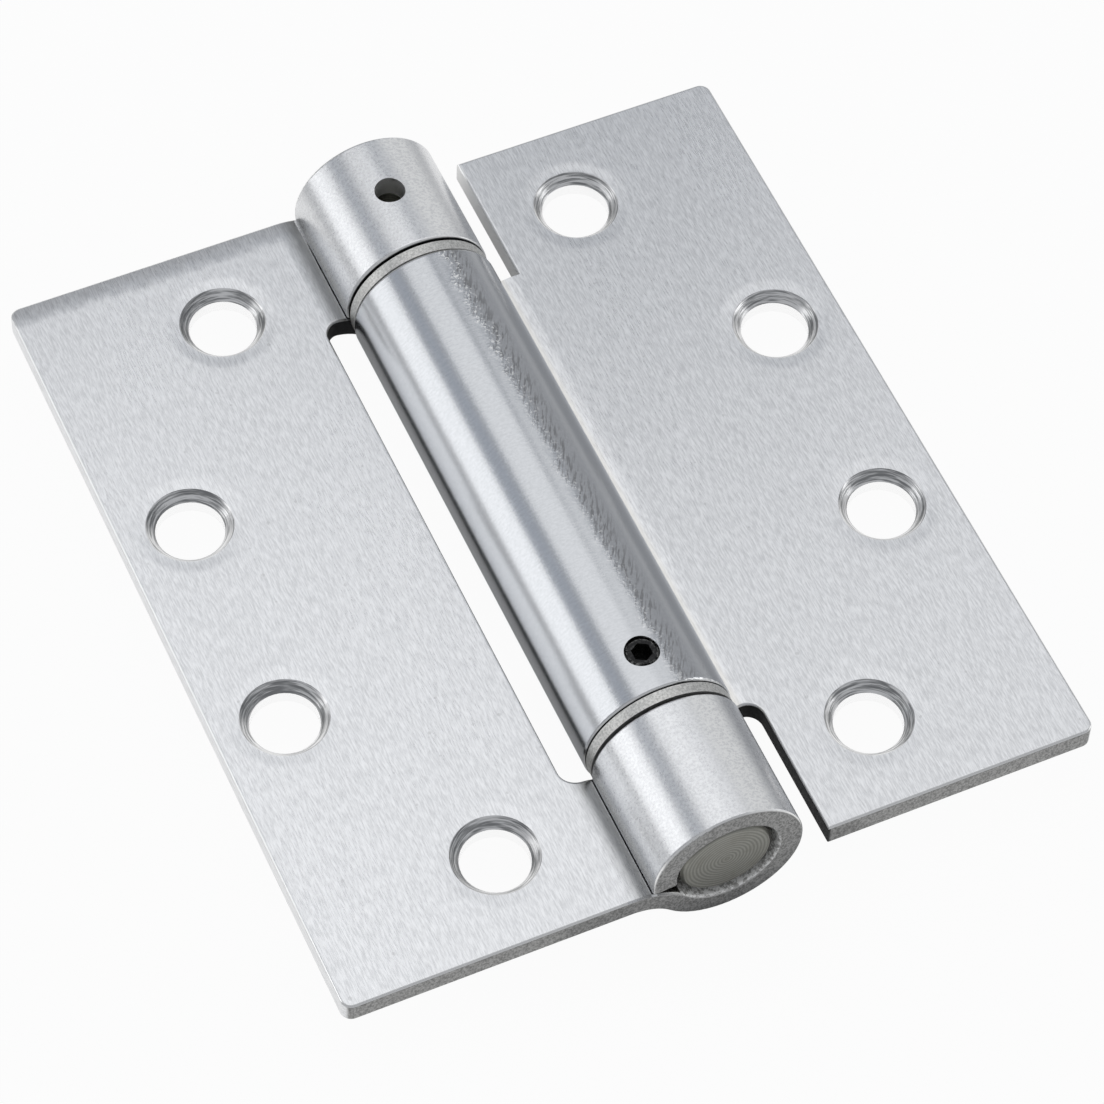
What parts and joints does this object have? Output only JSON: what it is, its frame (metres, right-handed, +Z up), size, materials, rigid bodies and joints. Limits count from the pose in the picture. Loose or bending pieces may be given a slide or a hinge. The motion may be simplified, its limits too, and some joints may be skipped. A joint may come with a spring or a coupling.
{
  "type": "spring hinge",
  "caption": "Self-closing butt hinge, open flat: leaves with countersunk screw holes curl into knuckles round a barrel that holds a torsion spring and its tension spindle.",
  "frame": {"origin": "under the middle of the hinge axis, at the level of the barrel's lowest line", "axes": "+Y along the hinge axis towards the tension spindle, +X across the door leaf, +Z up out of the countersunk faces"},
  "size_m": [0.1016, 0.1142, 0.0202],
  "materials": {
    "satin_steel": "satin brushed plate",
    "washer_steel": "dull stamped",
    "turned_steel": "turned, fine rings",
    "spring_steel": "oiled drawn wire",
    "black_oxide": "black oxide, satin"
  },
  "bodies": {
    "frame_side": {"frame_leaf": "satin_steel"},
    "door_side": {"door_leaf": "satin_steel", "upper_bearing_washer": "washer_steel", "lower_bearing_washer": "washer_steel", "anchor_plug": "turned_steel", "anchor_set_screw": "black_oxide", "torsion_spring": "spring_steel"},
    "spindle": {"tension_spindle": "turned_steel"}
  },
  "joints": [
    {"name": "leaf_swing", "type": "hinge", "parent": "frame_side", "child": "door_side", "pos_m": [0, 0, 0.0101], "axis": [0, -1, 0], "range_deg": [0, 180], "deforming": ["torsion_spring"]},
    {"name": "tension_adjust", "type": "hinge", "parent": "frame_side", "child": "spindle", "pos_m": [0, 0.0426, 0.0101], "axis": [0, -1, 0], "range_deg": [0, 180], "deforming": ["torsion_spring"]}
  ]
}
